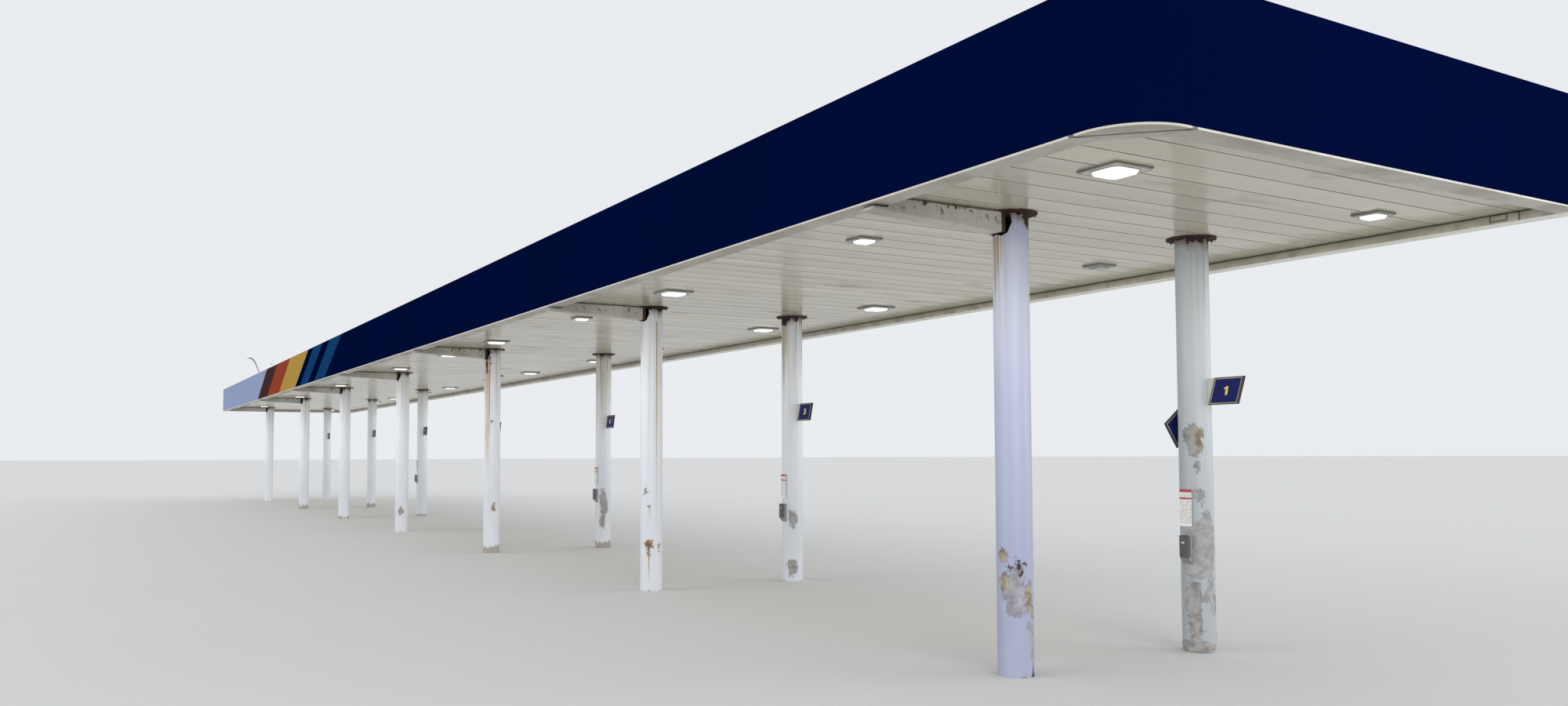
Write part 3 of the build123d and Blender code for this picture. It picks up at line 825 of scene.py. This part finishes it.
def column_finish(name, centre, head, pale, dark, runs, peels, stains, worn):
    """White paint on a pipe, with rust below its head; peels pairs two bare shades with ovals."""
    f = Finish(name, white_paint, 0.3)
    across = f.minus(f.x, centre.x)
    along = f.minus(f.y, centre.y)
    angle = f.math("ARCTAN2", along, across)
    radius = f.math("SQRT", f.plus(f.times(across, across), f.times(along, along)))
    shift = centre.x + centre.y * 3
    f.paint(f.mix(f.step(f.noise(1.6, stretch=(2, 2, 0.5), shift=shift, detail=5), 0.3, 0.7), dark, pale))
    # Paint darker towards the bottom
    f.lay(f.step(f.z, 2.0, 0.3), (0.02, 0.02, 0.05), 0.34)
    # Painted light: lighter paint in a zone below the head
    painted_light_zone = f.times(f.step(f.z, *painted_light_rise), f.step(f.z, *painted_light_fall))
    f.lay(painted_light_zone, (0.95, 0.97, 1.0), 0.25)
    # Long grey runs, then brown ones close under the head
    streak = f.step(f.noise(26, stretch=(1, 1, 0.02), shift=shift, detail=3), 0.50, 0.72)
    fade = f.step(f.z, head - 1.5, head)
    f.lay(f.times(streak, fade), (0.34, 0.31, 0.25), 0.38)
    threads = f.noise(34, stretch=(1, 1, 0.008), shift=shift + 5, detail=2)
    drip = f.step(threads, 0.66 - 0.16 * runs, 0.72 - 0.12 * runs)
    length = f.plus(f.z, f.times(f.noise(16, stretch=(1, 1, 0.02), shift=shift + 8), 0.9))
    below = f.times(f.step(length, head - 0.15, head + 0.45), f.step(f.z, head + 0.03, head))
    if centre.y < 0:
        turned = f.absolute(f.plus(angle, math.pi / 2))
        below = f.times(below, f.step(turned, 0.95, 0.7))
    f.lay(f.times(drip, below), (0.33, 0.22, 0.08), 0.35 + 0.4 * runs)
    # Rust and dirt that ran down from a damaged spot
    smooth = f.times(f.minus(f.noise(5, stretch=(1, 1, 0.6), shift=shift + 6, detail=3), 0.5), 0.10)
    blotch = f.step(f.noise(14, stretch=(1, 1, 0.35), shift=shift + 9, detail=5), 0.15, 0.5)
    for turn, top, length, wide, share in stains:
        side = f.absolute(f.minus(f.plus(angle, smooth), turn))
        thin = f.minus(wide, f.times(f.step(f.z, top, top - length), wide * 0.6))
        within = f.step(f.minus(side, thin), 0.03, -0.03)
        tail = f.times(f.step(f.z, top - length, top - length * 0.45), f.step(f.z, top + 0.02, top))
        wash = f.times(f.times(within, tail), f.times(blotch, share))
        f.lay(wash, (0.38, 0.26, 0.075))
    # Rust eaten upwards from below the collar
    ragged = f.times(f.noise(17, stretch=(1, 1, 0.25), shift=shift + 2, detail=5), 0.16)
    bite = f.step(f.plus(f.z, ragged), deck_height + 0.062, deck_height + 0.066)
    f.lay(bite, (0.022, 0.012, 0.008))
    stain = f.step(f.plus(f.z, ragged), deck_height - 0.01, deck_height + 0.066)
    f.lay(f.minus(stain, bite, True), (0.20, 0.11, 0.05), 0.75)
    # Peeled patches with dark broken rims
    bare = 0.0
    broad = f.times(f.minus(f.noise(16, shift=shift + 1, detail=3), 0.5), 0.070)
    fine = f.noise(70, stretch=(1, 1, 0.7), shift=shift + 2, detail=7, rough=0.75)
    jagged = f.times(f.minus(fine, 0.5), 0.100)
    torn = f.plus(broad, jagged)
    rim_noise = f.step(f.noise(34, shift=shift + 4, detail=4), 0.42, 0.55)
    mottle = f.step(f.noise(22, shift=shift + 3, detail=6), 0.35, 0.65)
    for (low, high), spots in peels:
        edge = f.plus(f.nearest(angle, spots), torn)
        patch = f.step(edge, 0.0007, -0.0007)
        f.lay(patch, f.mix(mottle, low, high))
        rim = f.times(f.minus(patch, f.step(edge, -0.0022, -0.0032), True), rim_noise)
        f.lay(rim, (0.10, 0.09, 0.085), 0.75)
        bare = f.math("MAXIMUM", bare, patch)
    # Scuffed foot
    foot = f.plus(f.z, f.times(f.noise(20, stretch=(1, 1, 0.5), shift=shift + 7, detail=7), 0.22))
    scuff = f.step(foot, 0.10 + 0.05 * worn, 0.085 + 0.05 * worn)
    f.lay(scuff, (0.24, 0.20, 0.16), 0.8)
    specks = f.step(f.noise(42, shift=shift, detail=1), 0.80, 0.83)
    f.lay(specks, (0.12, 0.10, 0.08), 0.7)
    inside = f.step(radius, column_radius - 0.002, column_radius - 0.003)
    f.lay(inside, rust_dark)
    rough = f.math("MAXIMUM", bare, bite)
    f.gloss(f.plus(f.times(rough, 0.4), f.plus(f.times(f.noise(9, shift=shift), 0.2), 0.28)))
    f.bump(f.minus(1.0, f.math("MAXIMUM", rough, scuff)), 0.7, 0.0012)
    f.bump(f.noise(60, detail=3), 0.10, 0.0005)
    return f


def rust_finish():
    f = Finish("collar_rust", rust_brown, 0.85, specular=0.2)
    f.paint(f.mix(f.noise(24, detail=6), (0.018, 0.009, 0.005), (0.085, 0.038, 0.017)))
    flakes = f.step(f.noise(60, detail=4), 0.52, 0.66)
    f.lay(flakes, (0.20, 0.10, 0.042), 0.6)
    f.bump(f.noise(90, detail=5), 0.8, 0.002)
    return f


def trough_finish():
    f = Finish("trough_paint", gutter_white, 0.5)
    grime = f.step(f.noise(3, stretch=(1, 2, 1), detail=6), 0.42, 0.72)
    f.paint(f.mix(f.times(grime, 0.5), (0.62, 0.60, 0.54), (0.36, 0.32, 0.26)))
    # Painted shade: darker towards the fascia end
    f.lay(f.step(f.y, -1.05, -1.5), (0.28, 0.26, 0.22), 0.55)
    specks = f.step(f.noise(38, stretch=(1, 1, 0.7), detail=4), 0.56, 0.63)
    top = f.step(f.z, deck_height - 0.085, deck_height - 0.015)
    f.lay(f.times(specks, f.plus(f.times(top, 0.85), 0.1)), rust_dark)
    wander = f.times(f.noise(14, detail=4), 0.02)
    edge = f.step(f.plus(f.z, wander), deck_height - 0.006, deck_height + 0.002)
    f.lay(edge, (0.06, 0.032, 0.018), 0.85)
    end = f.step(f.plus(f.y, wander), drain_end - 0.022, drain_end - 0.014)
    f.lay(end, (0.05, 0.025, 0.014))
    # Painted shade: the rim's top dark where the trough runs in beneath the gutter
    outside = f.times(f.step(f.y, y_front + gutter_width - 0.01, y_front + gutter_width - 0.03), 0.9)
    painted_rim_shade = f.step(f.z, fascia_bottom - 0.014, fascia_bottom - 0.011)
    f.lay(f.times(outside, painted_rim_shade), (0.10, 0.095, 0.08))
    f.bump(f.noise(12, detail=4), 0.4, 0.002)
    return f


def steel_finish(name, low, high):
    f = Finish(name, steel, 0.55, metallic=0.3)
    f.paint(f.mix(f.noise(5, detail=6), low, high))
    rusty = f.step(f.noise(9, detail=7, shift=3), 0.62, 0.72)
    f.lay(rusty, rust_brown, 0.5)
    f.gloss(f.plus(f.times(f.noise(12, detail=5), 0.3), 0.35))
    f.bump(f.noise(40, detail=4), 0.25, 0.0008)
    return f


def plate_finish():
    f = Finish("light_plate_paint", (0.62, 0.60, 0.53), 0.45)
    f.paint(f.mix(f.noise(9, detail=5), (0.56, 0.54, 0.47), (0.70, 0.68, 0.60)))
    # Painted shade: the plate's tapered edge dark next to the soffit
    painted_edge_shade = f.step(f.z, deck_height - 0.0086, deck_height - 0.0080)
    f.lay(painted_edge_shade, (0.06, 0.055, 0.05), 0.8)
    f.bump(f.noise(30, detail=3), 0.2, 0.0006)
    return f


def lens_finish():
    """Frosted prismatic lens, lit from inside; one of them is out."""
    f = Finish("lens_glass", (0.85, 0.87, 0.86), 0.2)
    ribs = f.add("ShaderNodeTexWave", wave_type="BANDS", bands_direction="DIAGONAL")
    f.join(f.place, ribs.inputs["Vector"])
    ribs.inputs["Scale"].default_value = 60
    f.bump(ribs.outputs[1], 0.3, 0.0008)
    aside = f.absolute(f.minus(f.x, unlit_place[0]))
    beyond = f.absolute(f.minus(f.y, unlit_place[1]))
    away = f.math("MAXIMUM", aside, beyond)
    lit = f.step(away, 0.15, 0.20)
    rings = f.step(f.math("FRACT", f.times(away, 36)), 0.35, 0.6)
    dead = f.mix(rings, (0.14, 0.145, 0.14), (0.40, 0.41, 0.38))
    f.paint(f.mix(lit, dead, (0.85, 0.87, 0.86)))
    glow = f.mix(f.step(f.z, deck_height - 0.010, deck_height - 0.018), (0.80, 0.83, 0.80), (1.0, 1.0, 0.97))
    f.join(f.mix(lit, (0.0, 0.0, 0.0), glow), f.shader.inputs["Emission Color"])
    f.shader.inputs["Emission Strength"].default_value = 0.8
    return f


def sign_finish():
    f = Finish("flag_paint", (0.008, 0.014, 0.12), 0.35, specular=0.1)
    f.paint(f.mix(f.noise(7, detail=5), (0.006, 0.011, 0.105), (0.010, 0.018, 0.14)))
    f.bump(f.noise(50, detail=2), 0.1, 0.0004)
    return f


def notice_finish():
    """White plates with two red bands and rows of short grey strokes."""
    f = Finish("notice_paint", (0.80, 0.79, 0.77), 0.45)
    f.paint(f.mix(f.noise(20, detail=5), (0.76, 0.75, 0.73), (0.86, 0.85, 0.83)))
    bay = f.math("ROUND", f.math("DIVIDE", f.minus(front_columns[0].x, f.x), bay_pitch))
    rise = f.minus(f.z, f.times(bay, fixing_rise))
    share = f.math("DIVIDE", f.minus(rise, notice_bottom), notice_height)
    row = f.times(share, 34.0)
    words = f.add("ShaderNodeTexWhiteNoise", noise_dimensions="2D")
    stroke = f.add("ShaderNodeCombineXYZ")
    f.join(f.math("FLOOR", f.times(f.x, 260.0)), stroke.inputs[0])
    f.join(f.math("FLOOR", row), stroke.inputs[1])
    f.join(stroke.outputs[0], words.inputs["Vector"])
    written = f.times(f.step(words.outputs[0], 0.28, 0.30), f.step(f.math("FRACT", row), 0.44, 0.5))
    inside = f.times(f.step(share, 0.06, 0.065), f.step(share, 0.93, 0.925))
    f.lay(f.times(written, inside), (0.12, 0.12, 0.13), 0.55)
    for low, high in ((0.925, 1.1), (0.735, 0.78)):
        band = f.times(f.step(share, low, low + 0.003), f.step(share, high, high - 0.003))
        f.lay(band, (0.42, 0.035, 0.03))
    f.bump(f.noise(50, detail=2), 0.1, 0.0004)
    return f


def plain_finish(name, low, high, roughness=0.5, metallic=0.0, grain=20):
    f = Finish(name, low, roughness, metallic)
    f.paint(f.mix(f.noise(grain, detail=6), low, high))
    f.gloss(f.plus(f.times(f.noise(grain * 2, detail=4), 0.2), roughness - 0.1))
    f.bump(f.noise(grain * 4, detail=3), 0.2, 0.0006)
    return f


# Pieces and finishes
make_deck(deck_finish())
gutter_paint = gutter_finish()
fascia_paint = fascia_finish()
frame_steel = steel_finish("frame_steel", (0.30, 0.31, 0.31), (0.44, 0.45, 0.44))
for side in ("front", "near_end", "back", "far_end"):
    dress(f"gutter_{side}", gutter_paint)
    dress(f"fascia_{side}", fascia_paint)
    dress(f"fascia_frame_{side}", frame_steel)
dress("gutter_corner", gutter_paint)
dress("corner_filler", gutter_paint)
dress("fascia_corner", fascia_paint)
beam_steel = steel_finish("beam_primer", (0.26, 0.25, 0.24), (0.36, 0.35, 0.33))
for name in ("cross_beams", "purlins", "end_beams"):
    dress(name, beam_steel)
collar_rust = rust_finish()
dress("collars_front", collar_rust)
dress("collars_back", collar_rust)
dress("drain_boxes", trough_finish())
dress("light_plates", plate_finish())
dress("light_lenses", lens_finish())
flag_paint = sign_finish()
dress("number_flags", flag_paint)
dress("flag_loose", flag_paint)
dress("flag_brackets", plain_finish("bracket_paint", (0.55, 0.56, 0.56), (0.66, 0.66, 0.65)))
dress("call_boxes", plain_finish("call_box_paint", (0.20, 0.20, 0.20), (0.28, 0.275, 0.27)))
cover_paint = plain_finish("call_cover_paint", (0.050, 0.054, 0.056), (0.085, 0.09, 0.092), 0.45)
mark_paint = plain_finish("call_mark_paint", (0.55, 0.56, 0.57), (0.68, 0.69, 0.70), 0.4)
make_covers(cover_paint, mark_paint)
dress("notice_plates", notice_finish())
# The flags' edges: partly black metal and partly painted shade on the flags' sides
edge_black_and_shade = plain_finish("flag_edge_black", (0.010, 0.010, 0.014), (0.022, 0.022, 0.028), 0.4)
gold = plain_finish("border_gold", (0.62, 0.47, 0.20), (0.72, 0.56, 0.27), 0.45)
yellow = plain_finish("number_yellow", (0.80, 0.62, 0.06), (0.86, 0.70, 0.10), 0.45)
zinc = plain_finish("fixing_zinc", (0.42, 0.43, 0.44), (0.56, 0.57, 0.58), 0.4, 0.7, 60)
bezel_metal = plain_finish("bezel_metal", (0.34, 0.34, 0.33), (0.48, 0.48, 0.46), 0.4, 0.3)
make_bezels(bezel_metal, zinc)
make_flags(edge_black_and_shade, gold, yellow)
make_gutter_joints(gutter_paint, zinc)
make_bolts(zinc)
make_flakes(collar_rust)
dress("loose_trim", plain_finish("trim_paint", (0.008, 0.008, 0.009), (0.02, 0.02, 0.02), 0.4))
dress("edge_lamp", plain_finish("edge_lamp_paint", (0.62, 0.63, 0.64), (0.72, 0.73, 0.74)))
dress("twin_lamp", plain_finish("twin_lamp_paint", (0.60, 0.60, 0.58), (0.70, 0.70, 0.68)))

# Columns: shade, worn patches and rust of each
grey_under = ((0.20, 0.195, 0.19), (0.34, 0.33, 0.31))
tan_under = ((0.17, 0.14, 0.105), (0.38, 0.32, 0.23))
light_under = ((0.25, 0.25, 0.25), (0.35, 0.35, 0.345))
lilac_under = ((0.22, 0.215, 0.245), (0.37, 0.36, 0.40))
rust_under = (rust_dark, (0.05, 0.03, 0.02))
ochre_under = ((0.14, 0.06, 0.022), (0.38, 0.22, 0.10))
notch_bottom = deck_height - 0.119
column_peels = {
    "front_1": [
        (lilac_under, [(-0.62, 0.44, 0.50, 0.07), (-0.62, 0.36, 0.48, 0.07), (-0.70, 0.50, 0.20, 0.055),
                       (-0.40, 0.50, 0.16, 0.05), (-1.15, 0.43, 0.38, 0.045), (-0.05, 0.38, 0.40, 0.055)]),
        (tan_under, [(-1.42, 0.60, 0.24, 0.028), (-1.38, 0.47, 0.32, 0.040), (0.02, 0.40, 0.18, 0.055),
                     (0.34, 0.32, 0.22, 0.030)]),
        (light_under, [(0.34, 0.16, 0.20, 0.085), (0.12, 0.27, 0.16, 0.03)]),
        (rust_under, [(-0.55, 0.555, 0.06, 0.018), (-0.19, 0.56, 0.09, 0.009), (-0.98, 0.54, 0.08, 0.008),
                      (-0.36, 0.52, 0.05, 0.008), (0.45, 0.02, 0.18, 0.025), (0.40, 2.31, 0.30, 0.055)]),
    ],
    "back_1": [
        (grey_under, [(-1.05, 1.205, 0.66, 0.060), (-1.02, 1.15, 0.50, 0.055), (-0.77, 1.03, 0.13, 0.018),
                      (-1.10, 0.33, 0.46, 0.085), (-1.05, 0.19, 0.38, 0.13), (-0.85, 0.03, 1.25, 0.03)]),
        (tan_under, [(-0.72, 1.22, 0.28, 0.032), (-0.62, 1.17, 0.20, 0.035)]),
        (light_under, [(-0.68, 0.87, 0.24, 0.040), (-0.60, 0.60, 1.02, 0.14), (-0.80, 0.50, 1.12, 0.10),
                       (-0.35, 0.71, 0.50, 0.065), (-0.08, 0.39, 0.24, 0.045), (-0.40, 0.31, 0.26, 0.035),
                       (0.22, 0.27, 0.30, 0.06), (-1.45, 0.29, 0.30, 0.08)]),
        (rust_under, [(-1.1, 2.315, 0.18, 0.018), (-0.75, 2.318, 0.20, 0.020), (-0.35, 2.315, 0.18, 0.018)]),
    ],
    "back_2": [
        (rust_under, [(-1.45, 2.315, 0.62, 0.070), (-0.10, 2.32, 0.28, 0.030)]),
        (light_under, [(-0.50, 0.55, 0.42, 0.08)]),
        (grey_under, [(-0.55, 0.13, 0.52, 0.07)]),
    ],
    "back_3": [(light_under, [(-0.30, 0.52, 0.52, 0.16)]), (grey_under, [(-0.45, 0.33, 0.36, 0.09)])],
    "front_2": [
        (ochre_under, [(-0.64, 0.38, 0.40, 0.030), (-0.70, 0.34, 0.16, 0.05)]),
        (tan_under, [(-1.02, 0.82, 0.13, 0.022), (0.30, 0.36, 0.14, 0.04)]),
        (rust_under, [(-0.52, 0.70, 0.08, 0.012), (-0.68, 0.69, 0.05, 0.010), (-0.35, 2.325, 0.95, 0.014)]),
    ],
    "front_3": [
        (tan_under, [(-0.05, 0.52, 0.30, 0.045)]),
        (rust_under, [(-1.05, 2.17, 0.14, 0.08), (-0.62, 2.24, 0.05, 0.06), (-0.44, 1.49, 0.09, 0.014)]),
    ],
    "front_4": [(grey_under, [(-0.30, 0.30, 0.42, 0.055)])],
    "back_4": [(light_under, [(-0.20, 0.40, 0.42, 0.11)])],
}
# Stains as (angle, top, length, half width as an angle, strength)
column_stains = {
    "front_1": [(-1.75, 2.20, 0.42, 0.16, 0.75), (-1.50, 2.21, 0.30, 0.09, 0.8),
                (-1.27, 2.21, 0.24, 0.06, 0.7), (-1.05, 2.22, 0.9, 0.05, 0.2)],
    "front_2": [(0.05, 2.20, 1.9, 0.045, 1.0), (0.18, 2.20, 1.3, 0.03, 0.6), (-1.45, 2.21, 0.4, 0.12, 0.5),
                (-0.52, 0.69, 0.16, 0.035, 0.6), (-0.67, 0.68, 0.12, 0.03, 0.5),
                (-0.62, 0.35, 0.32, 0.06, 1.0)],
    "front_3": [(-1.00, 2.26, 1.7, 0.46, 0.6), (-0.62, 2.2, 1.9, 0.04, 0.9)],
    "front_4": [(-0.3, 2.20, 0.7, 0.05, 0.5)],
    "back_1": [(-0.95, 2.30, 0.5, 0.05, 0.15), (-0.2, 2.30, 0.9, 0.04, 0.15)],
    "back_2": [(-0.90, 2.27, 0.6, 0.12, 0.2), (-0.35, 2.28, 0.7, 0.10, 0.15), (-1.45, 2.26, 0.7, 0.25, 0.6),
               (-1.10, 2.27, 0.45, 0.09, 0.5), (0.35, 2.29, 0.6, 0.15, 0.25)],
    "back_3": [(-0.6, 2.32, 1.1, 3.3, 0.26), (-0.80, 2.31, 0.36, 0.05, 0.6), (-0.35, 2.31, 0.50, 0.035, 0.6),
               (0.10, 2.31, 0.30, 0.05, 0.5)],
    "back_4": [(-0.4, 2.30, 0.5, 0.08, 0.4)],
}
column_runs = {"front_1": 0.5, "back_1": 0.15, "front_2": 0.7, "front_3": 1.0, "back_2": 0.7}
cool_white = ((0.53, 0.57, 0.75), (0.46, 0.49, 0.66))
plain_white = ((0.92, 0.94, 0.98), (0.84, 0.87, 0.92))
dull_white = ((0.55, 0.585, 0.61), (0.485, 0.52, 0.54))
for index in range(islands):
    for row, columns in (("front", front_columns), ("back", back_columns)):
        key = f"{row}_{index + 1}"
        pale, dark = plain_white if index else (cool_white if row == "front" else dull_white)
        head = notch_bottom if row == "front" else deck_height - 0.02
        worn = index % 3 if index > 1 else 0
        dress(f"column_{key}", column_finish(
            f"column_paint_{key}", columns[index], head, pale, dark, column_runs.get(key, 0.55),
            column_peels.get(key, []), column_stains.get(key, []), worn))


# Camera at the photograph's place
def make_camera():
    data = bpy.data.cameras.new("camera")
    camera = link("camera", data)
    data.sensor_width = sensor
    data.lens = sensor * focal_pixels / photo_width
    data.shift_x = (photo_width / 2 - centre_column_pixel) / photo_width
    data.shift_y = (centre_row_pixel - photo_height / 2) / photo_width
    data.clip_end = view_reach
    level = Vector((-math.cos(camera_yaw), math.sin(camera_yaw), 0))
    right = Vector((math.sin(camera_yaw), math.cos(camera_yaw), 0))
    up = Vector((0, 0, 1))
    forward = level * math.cos(camera_pitch) + up * math.sin(camera_pitch)
    upward = up * math.cos(camera_pitch) - level * math.sin(camera_pitch)
    rolled_right = right * math.cos(camera_roll) + upward * math.sin(camera_roll)
    rolled_up = upward * math.cos(camera_roll) - right * math.sin(camera_roll)
    turn = Matrix((rolled_right, rolled_up, -forward)).transposed().to_4x4()
    first = Vector((front_columns[0].x, front_row, 0))
    camera.matrix_world = Matrix.Translation(first + camera_from_column) @ turn
    bpy.context.scene.camera = camera


# Pale floor and pale surroundings
def make_stage():
    floor = Finish("floor", (0.62, 0.62, 0.61), 0.9, specular=0.1)
    floor.paint(floor.mix(floor.noise(0.6), (0.61, 0.61, 0.60), (0.63, 0.63, 0.62)))
    mesh = bpy.data.meshes.new("floor")
    corners = [(*p, 0) for p in rectangle(floor_size, floor_size)]
    mesh.from_pydata(corners, [], [(0, 1, 2, 3)])
    mesh.materials.append(floor.material)
    plane = link("floor", mesh)
    world = bpy.data.worlds.new("studio")
    bpy.context.scene.world = world
    world.use_nodes = True
    shade = world.node_tree.nodes["Background"]
    shade.inputs["Color"].default_value = (0.82, 0.84, 0.87, 1)
    shade.inputs["Strength"].default_value = 1.0


def sun(name, source, strength, spread):
    """A wide soft lamp that shines from the direction of a point."""
    data = bpy.data.lights.new(name, "SUN")
    data.energy = strength
    data.angle = math.radians(spread)
    lamp = link(name, data)
    lamp.rotation_euler = (-Vector(source)).to_track_quat("-Z", "Y").to_euler()


make_camera()
make_stage()
sun("key", (30, -10, 8), 1.4, 40)
sun("side", (-6, -30, 7), 1.0, 50)
sun("fill_back", (20, 26, 8), 1.0, 50)

scene = bpy.context.scene
scene.view_settings.view_transform = "Standard"
